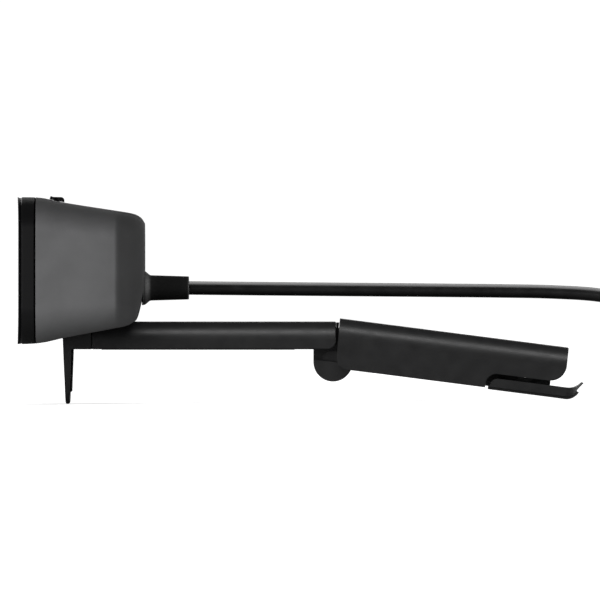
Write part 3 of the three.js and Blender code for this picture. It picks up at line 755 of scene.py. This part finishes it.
def clip_frame():
    tip_y, tip_z = LIP_Y, LIP_Z - 0.45
    hook = across_x(
        "clip_body",
        outline(
            [(9.25, 3.6), (tip_y - 0.45, LIP_Z, 0.1), (tip_y - 0.3, tip_z, 0.3), (tip_y + 0.3, tip_z, 0.3)]
            + [(tip_y + 0.42, LIP_Z, 0.1), (11.1, 0), (15.1, 0), (15.1, 4.9), (10.6, 4.9, 1)]
        ),
        -CLIP_HALF,
        CLIP_HALF,
    )
    front = along_y(
        "front",
        outline(
            [(-CORE_HALF, tip_z, 3), (CORE_HALF, tip_z, 3), (CLIP_HALF, -2), (CLIP_HALF, 8)]
            + [(-CLIP_HALF, 8), (-CLIP_HALF, -2)],
            12,
        ),
        5,
        20,
    )
    hook = common(hook, front)
    knuckle = rod_x("knuckle", TILT.y, TILT.z, 2.1, 0.1 - CLIP_HALF, CLIP_HALF - 0.1)
    core = along_y("core", channel_section(CORE_HALF, 0.08, 4.4, 2.5), 14, ARM_BACK - 0.2)
    rooms = [
        rod_x("room", FOLD.y, FOLD.z, FOLD_RADIUS + 0.5, *span)
        for span in both_sides(KNUCKLE_HALF - 0.05, CLIP_HALF)
    ]
    half = ARM_PAD_HALF + PAD_PLAY
    pad_room = block(
        "pad_room", -half, half, ARM_PAD_START - PAD_PLAY, ARM_PAD_END + PAD_PLAY, -1, 0.75
    )
    core = cut(core, *rooms, pad_room)
    body = join(hook, knuckle, core, fold_knuckle())
    pins = [
        rod_x("pin", TILT.y, TILT.z, TILT_BORE, -THROUGH, THROUGH),
        rod_x("pin", FOLD.y, FOLD.z, FOLD_BORE, -THROUGH, THROUGH),
    ]
    return edged(cut(body, *pins), 0.15)


def leg_cover():
    piece = channel("leg_cover_channel", CLIP_HALF, LEG_BOTTOM, LEG_TOP, LEG_FRONT, LEG_BACK, LEG)
    side = across_x(
        "side",
        outline(
            [(LEG_FRONT, LEG_TOP), (0.72, LEG_BOTTOM, 2.5), (NOTCH_FRONT, LEG_BOTTOM)]
            + [(NOTCH_FRONT, NOTCH_TOP, 2.2), (LEG_BACK, NOTCH_TOP, 3.3)]
            + [(LEG_BACK - 0.1, LEG_TOP, 0.3)],
            12,
        ),
        -THROUGH,
        THROUGH,
        LEG,
    )
    return edged(common(piece, side), 0.25)


def leg_frame():
    top = LEG_TOP - CHANNEL_WALL - 0.3
    plate = along_y("leg_frame_body", channel_section(CORE_HALF, 5.1, top, 2.4), 6, 46, LEG)
    shape = arc((0, 0), FOLD_RADIUS, 180, 360, 32) + [
        Vector(p) for p in ((8, 2.4), (8, 6.6), (1, 6.2), (1, 0))
    ]
    extras = []
    y, z = FOOT_PIVOT
    ear = outline([(y - 2.6, 6.3), (y - 1.5, z - 1.5, 1.4), (y + 1.5, z - 1.5, 1.4), (y + 2.6, 6.3)])
    for lug, boss, beside in zip(*(both_sides(*span) for span in (LUG_SPAN, BOSS_SPAN, EAR_SPAN))):
        extras.append(across_x("lug", shape, *lug, LEG))
        extras.append(rod_x("boss", 0, 0, 2.3, *boss, LEG))
        extras.append(across_x("ear", ear, *beside, LEG))
    body = join(plate, *extras)
    pins = [
        rod_x("pin", 0, 0, FOLD_BORE, -BORE_REACH, BORE_REACH, LEG),
        rod_x("pin", *FOOT_PIVOT, FOOT_BORE, -THROUGH, THROUGH, LEG),
    ]
    return edged(cut(body, *pins), 0.15)


def toe_plan(half, corner):
    """A tool with the foot's outline from above, with rounded corners at its toe."""
    plan = outline([(-half, 20), (half, 20), (half, TOE_END, corner), (-half, TOE_END, corner)], 12)
    return along_z("plan", plan, -3, 7, LEG)


def foot_plate():
    reach = TOE[1] - FOOT_SOLE
    shape = (
        [Vector((FOOT_FRONT, FOOT_SOLE)), Vector((TOE[0], FOOT_SOLE))]
        + arc(TOE, reach, -90, math.degrees(-0.3), 14)
        + [Vector((51.45, 2.25))]
        + arc((48.3, 4.25), 3.37, math.degrees(-0.6), -90, 12)
        + arc((FOOT_FRONT + 1.8, FOOT_TOP - 1.5), 1.5, 90, 167, 10)
    )
    plate = common(
        across_x("foot_body", shape, 0.1 - CLIP_HALF, CLIP_HALF - 0.1, LEG),
        toe_plan(CLIP_HALF, 4.5),
    )
    y, z = FOOT_PIVOT
    heel = FOOT_FRONT + 2
    rib = across_x(
        "rib",
        outline(
            [(30.7, FOOT_SOLE + 0.1), (heel, FOOT_SOLE + 0.1), (heel, 0), (44.7, 0), (44.7, 2.4, 0.6)]
            + [(30.7, 2.4, 1.2)]
        ),
        -4,
        4,
        LEG,
    )
    boss = rod_x("boss", y, z, 1.6, -3.95, 3.95, LEG)
    return edged(cut(join(plate, rib, boss), rod_x("pin", y, z, FOOT_BORE, -5, 5, LEG)), 0.15)


def foot_pad():
    inner, outer = TOE[1] - FOOT_SOLE + 0.05, TOE[1] - FOOT_BOTTOM
    shape = (
        [Vector((FOOT_FRONT + 0.05, FOOT_BOTTOM))]
        + arc(TOE, outer, -90, math.degrees(-0.45), 14)
        + arc(TOE, inner, math.degrees(-0.45), -90, 14)
        + [Vector((FOOT_FRONT + 0.05, FOOT_SOLE - 0.05))]
    )
    pad = across_x("foot_rubber", shape, -FOOT_PAD_HALF, FOOT_PAD_HALF, LEG)
    return edged(common(pad, toe_plan(FOOT_PAD_HALF, 4)), 0.08)


def lip_pad():
    top = -0.02
    shape = outline([(11.15, top), (11.42, top), (11.12, LIP_PAD_END, 0.1), (10.85, LIP_PAD_END)])
    return edged(across_x("lip_rubber", shape, -LIP_PAD_HALF, LIP_PAD_HALF), 0.06)


def arm_pad():
    span = (-ARM_PAD_HALF, ARM_PAD_HALF, ARM_PAD_START, ARM_PAD_END)
    return edged(block("arm_rubber", *span, -0.1, 0.6), 0.15)


# ---- The plug, in the final frame -----------------------------------------------------------------

PLUG_X, PLUG_Z = 28, 3.9
PLUG_TIP, PLUG_FRONT, PLUG_BACK, PLUG_NECK = 68.8, 81, 107, 115


def plug_body():
    half, high, corner = 7.9, PLUG_Z, 1.8
    corners = [(x, z, corner) for x, z in ((-half, -high), (half, -high), (half, high), (-half, high))]
    grip = along_y(
        "usb_plug_grip",
        [point + Vector((PLUG_X, PLUG_Z)) for point in outline(corners, 10)],
        PLUG_FRONT,
        PLUG_BACK,
        WORLD,
    )
    neck = turned(
        "neck",
        PLUG_X,
        PLUG_Z,
        [(0, PLUG_BACK - 1), (3, PLUG_BACK - 1), (3, PLUG_BACK + 0.6), (1.9, PLUG_NECK - 0.2)]
        + [(1.7, PLUG_NECK), (0, PLUG_NECK)],
        WORLD,
        48,
    )
    socket = block(
        "socket", PLUG_X - 6.15, PLUG_X + 6.15, PLUG_FRONT - 1, PLUG_FRONT + 6, 1.5, 6.3, WORLD
    )
    grooves = [
        block("groove", PLUG_X + x - 0.5, PLUG_X + x + 0.5, y, y + 0.8, 1.2, 6.6, WORLD)
        for x in (-half, half)
        for y in range(90, 102, 2)
    ]
    return edged(cut(join(grip, neck), socket, *grooves), 0.25, 40)


def plug_shell():
    half, wall = 6, 0.3
    inner = half - wall
    back = PLUG_FRONT + 5.8
    low, high = PLUG_Z - 2.25, PLUG_Z + 2.25
    shell = block("usb_plug_metal", PLUG_X - half, PLUG_X + half, PLUG_TIP, back, low, high, WORLD)
    low, high = low + wall, high - wall
    inside = block("inside", PLUG_X - inner, PLUG_X + inner, PLUG_TIP - 1, back - 1, low, high, WORLD)
    windows = [
        block("window", x - 1.2, x + 1.2, PLUG_TIP + 5, PLUG_TIP + 7.2, PLUG_Z + 1, PLUG_Z + 5, WORLD)
        for x in (PLUG_X - 2.9, PLUG_X + 2.9)
    ]
    return edged(cut(shell, inside, *windows), 0.12)


# ---- Materials -------------------------------------------------------------------------------------


class Look:
    """A Principled material and short ways to add its noise, bump and roughness variation."""

    def __init__(self, name, color, roughness, metallic=0, specular=0.5, coat=0):
        self.material = bpy.data.materials.new(name)
        self.material.use_nodes = True
        self.nodes = self.material.node_tree.nodes
        self.links = self.material.node_tree.links
        self.shader = self.nodes["Principled BSDF"]
        self.shader.inputs["Base Color"].default_value = (*color, 1)
        self.shader.inputs["Roughness"].default_value = roughness
        self.shader.inputs["Metallic"].default_value = metallic
        self.shader.inputs["Specular IOR Level"].default_value = specular
        self.shader.inputs["Coat Weight"].default_value = coat
        self.color = color
        self.roughness = roughness
        self.height = None
        self.material.diffuse_color = (*color, 1)

    def place(self, stretch=(1, 1, 1)):
        coordinates = self.nodes.new("ShaderNodeTexCoord")
        mapping = self.nodes.new("ShaderNodeMapping")
        mapping.inputs["Scale"].default_value = stretch
        self.links.new(coordinates.outputs["Object"], mapping.inputs["Vector"])
        return mapping.outputs["Vector"]

    def noise(self, size, detail=3, stretch=(1, 1, 1)):
        """Noise whose features are about size millimetres across."""
        noise = self.nodes.new("ShaderNodeTexNoise")
        noise.inputs["Scale"].default_value = 1 / (size * MM)
        noise.inputs["Detail"].default_value = detail
        self.links.new(self.place(stretch), noise.inputs["Vector"])
        return noise.outputs["Fac"]

    def ranged(self, value, low, high, source=(0.3, 0.7)):
        ranged = self.nodes.new("ShaderNodeMapRange")
        ranged.inputs["From Min"].default_value, ranged.inputs["From Max"].default_value = source
        ranged.inputs["To Min"].default_value, ranged.inputs["To Max"].default_value = low, high
        self.links.new(value, ranged.inputs["Value"])
        return ranged.outputs["Result"]

    def tone(self, value, darker, lighter):
        """Base colour that wanders between two shares of itself."""
        ramp = self.nodes.new("ShaderNodeValToRGB")
        ramp.color_ramp.elements[0].position = 0.3
        ramp.color_ramp.elements[1].position = 0.7
        ramp.color_ramp.elements[0].color = (*(c * darker for c in self.color), 1)
        ramp.color_ramp.elements[1].color = (*(c * lighter for c in self.color), 1)
        self.links.new(value, ramp.inputs["Fac"])
        self.links.new(ramp.outputs["Color"], self.shader.inputs["Base Color"])
        return self

    def rough(self, value, spread):
        result = self.ranged(value, self.roughness - spread, self.roughness + spread)
        self.links.new(result, self.shader.inputs["Roughness"])
        return self

    def facing(self, way):
        """How squarely the surface faces a direction, from -1 to 1."""
        coordinates = self.nodes.new("ShaderNodeTexCoord")
        product = self.nodes.new("ShaderNodeVectorMath")
        product.operation = "DOT_PRODUCT"
        product.inputs[1].default_value = way
        self.links.new(coordinates.outputs["Normal"], product.inputs[0])
        return product.outputs["Value"]

    def sum(self, first, second, name):
        """Gives the shader's named input the sum of two values."""
        total = self.nodes.new("ShaderNodeMath")
        self.links.new(first, total.inputs[0])
        self.links.new(second, total.inputs[1])
        self.links.new(total.outputs["Value"], self.shader.inputs[name])

    def bump(self, value, depth, strength=1):
        """Relief of about depth millimetres, on top of any that is already there."""
        bump = self.nodes.new("ShaderNodeBump")
        bump.inputs["Strength"].default_value = strength
        bump.inputs["Distance"].default_value = depth * MM
        self.links.new(value, bump.inputs["Height"])
        if self.height:
            self.links.new(self.height, bump.inputs["Normal"])
        self.height = bump.outputs["Normal"]
        self.links.new(self.height, self.shader.inputs["Normal"])
        return self


def moulded(name, color, roughness, grain=0.25, depth=0.012, specular=0.4):
    """Moulded plastic with a fine spark-eroded grain and slight variation."""
    look = Look(name, color, roughness, specular=specular)
    look.tone(look.noise(6, 4), 0.93, 1.07)
    look.rough(look.noise(3, 4), 0.05)
    look.bump(look.noise(grain, 2), depth)
    return look.material


def polished(name, color):
    """Black plastic, polished where it faces the front and satin round its sides."""
    look = Look(name, color, 0.5, specular=0.2)
    look.tone(look.noise(9, 3), 0.9, 1.1)
    front = look.facing((0, -1, 0))
    wander = look.ranged(look.noise(5, 5), -0.04, 0.04)
    look.sum(wander, look.ranged(front, look.roughness, 0.12, (0.6, 0.95)), "Roughness")
    look.links.new(look.ranged(front, 0, 0.4, (0.6, 0.95)), look.shader.inputs["Coat Weight"])
    look.shader.inputs["Coat Roughness"].default_value = 0.05
    look.bump(look.noise(7, 2), 0.004)
    return look.material


def rubbery(name, color, roughness=0.7, grain=0.35, depth=0.02):
    look = Look(name, color, roughness, specular=0.35)
    look.tone(look.noise(4, 4), 0.85, 1.15)
    look.rough(look.noise(2, 4), 0.06)
    look.bump(look.noise(grain, 3), depth)
    return look.material


def jacket():
    """The cable's smooth jacket, with faint waviness from the wires in it."""
    look = Look("cord_jacket", (0.004, 0.004, 0.0042), 0.36, specular=0.45, coat=0.4)
    look.tone(look.noise(5, 3), 0.9, 1.1)
    look.rough(look.noise(2.5, 4), 0.06)
    look.bump(look.noise(1.6, 2), 0.02)
    look.bump(look.noise(0.2, 2), 0.004)
    return look.material


def metal(name, color=(0.62, 0.62, 0.64), roughness=0.28, stretch=(1, 8, 1)):
    look = Look(name, color, roughness, metallic=1)
    look.tone(look.noise(3, 3), 0.93, 1.05)
    look.rough(look.noise(0.4, 3, stretch), 0.07)
    look.bump(look.noise(0.25, 2, stretch), 0.004)
    return look.material


def glass():
    look = Look("lens_glass", (0.75, 0.8, 0.9), 0.03, specular=0.5)
    look.shader.inputs["Transmission Weight"].default_value = 1
    look.shader.inputs["IOR"].default_value = 1.45
    look.rough(look.noise(4, 3), 0.015)
    look.bump(look.noise(6, 2), 0.001)
    return look.material


def coated_glass():
    """A dark lens with a violet anti-reflection coating."""
    look = Look("coated_lens", (0.012, 0.01, 0.03), 0.04, specular=0.8, coat=1)
    look.shader.inputs["Coat Tint"].default_value = (0.6, 0.5, 1, 1)
    look.shader.inputs["Coat Roughness"].default_value = 0.02
    look.tone(look.noise(3, 2), 0.8, 1.2)
    look.rough(look.noise(2, 3), 0.015)
    return look.material


def board():
    """Green solder mask over faint copper tracks."""
    look = Look("circuit_board", (0.012, 0.11, 0.035), 0.4)
    look.tone(look.noise(1.5, 1, (1, 1, 4)), 0.7, 1.3)
    look.rough(look.noise(1, 3), 0.08)
    look.bump(look.noise(1.5, 1, (1, 1, 4)), 0.05)
    return look.material


LOOKS = {
    "housing_plastic": moulded("housing_charcoal", (0.2, 0.201, 0.204), 0.65, 0.3, 0.016, 0.2),
    "gloss_front": polished("front_black", (0.008, 0.008, 0.0085)),
    "clip_plastic": moulded("clip_black", (0.0085, 0.0085, 0.0088), 0.42, 0.22, 0.006, 0.4),
    "black_parts": moulded("flat_black", (0.01, 0.01, 0.01), 0.6, 0.15, 0.008),
    "rubber": rubbery("moulded_rubber", (0.0075, 0.0075, 0.0075)),
    "cord_jacket": jacket(),
    "steel": metal("plated_steel"),
    "lens_glass": glass(),
    "circuit_board": board(),
    "pale_plastic": moulded("pale_plastic", (0.75, 0.75, 0.72), 0.4),
}

# ---- Stage and light -------------------------------------------------------------------------------

STAGE_HALF, STAGE_DROP = 12, 0.00005
LIT_POINT = Vector((0, 0, 0.02))
WHITE = (1, 1, 1, 1)


def make_stage():
    """A pale floor. It is dim to every ray but the camera's, so that it leaves the black parts black."""
    corners = [(-1, -1), (1, -1), (1, 1), (-1, 1)]
    floor = add_mesh(
        "floor",
        [(x * STAGE_HALF, y * STAGE_HALF, -STAGE_DROP) for x, y in corners],
        [(0, 1, 2, 3)],
        Matrix.Identity(4),
    )
    look = Look("studio_floor", (0.5, 0.5, 0.5), 0.9, specular=0)
    look.shader.inputs["Emission Color"].default_value = WHITE
    look.shader.inputs["Emission Strength"].default_value = 0.72
    look.tone(look.noise(60, 2), 0.99, 1.01)
    dim = look.nodes.new("ShaderNodeBsdfDiffuse")
    dim.inputs["Color"].default_value = (0.12, 0.12, 0.12, 1)
    path = look.nodes.new("ShaderNodeLightPath")
    mix = look.nodes.new("ShaderNodeMixShader")
    look.links.new(path.outputs["Is Camera Ray"], mix.inputs[0])
    look.links.new(dim.outputs["BSDF"], mix.inputs[1])
    look.links.new(look.shader.outputs["BSDF"], mix.inputs[2])
    look.links.new(mix.outputs["Shader"], look.nodes["Material Output"].inputs["Surface"])
    floor.data.materials.append(look.material)
    floor.visible_shadow = False
    return floor


def make_world():
    """White behind the webcam, and dim where its surfaces look."""
    world = bpy.data.worlds.new("world")
    world.use_nodes = True
    nodes, links = world.node_tree.nodes, world.node_tree.links
    dim = nodes["Background"]
    dim.inputs["Color"].default_value = WHITE
    dim.inputs["Strength"].default_value = 0.07
    bright = nodes.new("ShaderNodeBackground")
    bright.inputs["Color"].default_value = WHITE
    bright.inputs["Strength"].default_value = 1.05
    path = nodes.new("ShaderNodeLightPath")
    mix = nodes.new("ShaderNodeMixShader")
    links.new(path.outputs["Is Camera Ray"], mix.inputs[0])
    links.new(dim.outputs["Background"], mix.inputs[1])
    links.new(bright.outputs["Background"], mix.inputs[2])
    links.new(mix.outputs["Shader"], nodes["World Output"].inputs["Surface"])
    bpy.context.scene.world = world


def add_light(name, data, azimuth, elevation, distance):
    """A lamp that looks at the webcam. Azimuth 0 is the side that the camera sees, 90 its back."""
    turn, rise = math.radians(azimuth), math.radians(elevation)
    way = Vector((math.cos(turn) * math.cos(rise), math.sin(turn) * math.cos(rise), math.sin(rise)))
    light = bpy.data.objects.new(name, data)
    light.location = LIT_POINT + way * distance
    light.rotation_mode = "QUATERNION"
    light.rotation_quaternion = (-way).to_track_quat("-Z", "Y")
    light.visible_camera = False
    bpy.context.scene.collection.objects.link(light)
    return light


def softbox(name, azimuth, elevation, distance, wide, high, radiance):
    data = bpy.data.lights.new(name, "AREA")
    data.shape = "RECTANGLE"
    data.size, data.size_y = wide, high
    data.energy = radiance * math.pi * wide * high
    return add_light(name, data, azimuth, elevation, distance)


def only_for(light, things):
    """Keeps a lamp's light to some of the things."""
    lit = bpy.data.collections.new(light.name + "_receivers")
    for thing in things:
        lit.objects.link(thing)
    light.light_linking.receiver_collection = lit


def make_lights(floor, clip, lead, gland, front):
    """Soft lamps round the webcam, some of them only for the pieces that need an edge or a sheen."""
    softbox("key", -40, 4, 1.6, 1.2, 1.2, 4.1)
    softbox("far_side", 200, 12, 1.7, 2.4, 0.8, 1.2)
    softbox("behind", 112, 14, 1.6, 0.6, 0.6, 2)
    softbox("under", 0, -76, 1.5, 1.2, 0.8, 0.7)
    only_for(softbox("strip", 0, 52, 1.5, 1.8, 0.42, 7), clip)
    only_for(softbox("overhead", 180, 78, 1.5, 1.8, 2, 3), lead)
    only_for(softbox("front_edges", -90, 6, 1.2, 0.5, 0.5, 4), clip)
    only_for(softbox("back_edges", 90, 6, 1.2, 0.5, 0.5, 16), clip)
    only_for(softbox("front_glow", -106, 0, 1.4, 0.8, 1.6, 0.9), front)
    only_for(softbox("gland_edge", 88, 4, 1.2, 0.5, 0.5, 45), [gland])
    data = bpy.data.lights.new("floor_sun", "SUN")
    data.energy = 2.7
    data.angle = math.radians(60)
    only_for(add_light("floor_sun", data, 0, 75, 3), [floor])
    bpy.context.scene.view_settings.view_transform = "Standard"


# ---- Assembly --------------------------------------------------------------------------------------


def make_head():
    cover = make(front_cover(), "head", "gloss_front", LOOKS["gloss_front"], "front_cover")
    make(rear_housing(), "head", "housing_plastic", LOOKS["housing_plastic"], "rear_housing")
    gland = make(cable_gland(), "head", "rubber", LOOKS["rubber"], "cable_gland")
    make(shutter_knob(), "shutter", "gloss_front", LOOKS["gloss_front"], "shutter_knob")
    ring, window, barrel, front = lens_pieces()
    make(ring, "head", "black_parts", LOOKS["black_parts"], "lens_ring")
    make(window, "head", "lens_glass", LOOKS["lens_glass"], "lens_window")
    make(barrel, "head", "black_parts", LOOKS["black_parts"], "lens_barrel")
    make(front, "head", "lens_glass", coated_glass(), "lens_front_element")
    return gland, [cover, ring, window]


def make_clip():
    plastic, rubber = LOOKS["clip_plastic"], LOOKS["rubber"]
    return [
        make(clip_frame(), "base", "clip_plastic", plastic, "clip_frame"),
        make(arm_cover(), "base", "clip_plastic", plastic, "arm_cover"),
        make(arm_pad(), "base", "rubber", rubber, "arm_grip_pad"),
        make(lip_pad(), "base", "rubber", rubber, "lip_pad"),
        make(leg_cover(), "leg", "clip_plastic", plastic, "leg_cover"),
        make(leg_frame(), "leg", "clip_plastic", plastic, "leg_frame"),
        make(foot_plate(), "foot", "clip_plastic", plastic, "foot_plate"),
        make(foot_pad(), "foot", "rubber", rubber, "foot_pad"),
    ]


def make_lead():
    cord, path = make_cord()
    cord.data.materials.append(LOOKS["cord_jacket"])
    tie = make(edged(make_tie(), 0.1), "base", "rubber", LOOKS["rubber"], "cable_tie")
    grip = make(plug_body(), "base", "rubber", LOOKS["rubber"], "usb_plug_body")
    shell = make(plug_shell(), "base", "steel", LOOKS["steel"], "usb_plug_shell")
    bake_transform(cord)
    return [cord, tie, grip, shell]


def dress_nodes():
    """Every node that is still shown gets its slot's finish."""
    for entry in frame["record"]["subparts"]:
        node = NODES[entry["node"]]
        if node.hide_render:
            continue
        node.data.materials.clear()
        node.data.materials.append(LOOKS[entry["material_slot"]])


make_camera()
lead = make_lead()
gland, front = make_head()
clip = make_clip()
dress_nodes()
make_world()
make_lights(make_stage(), clip, lead, gland, front)
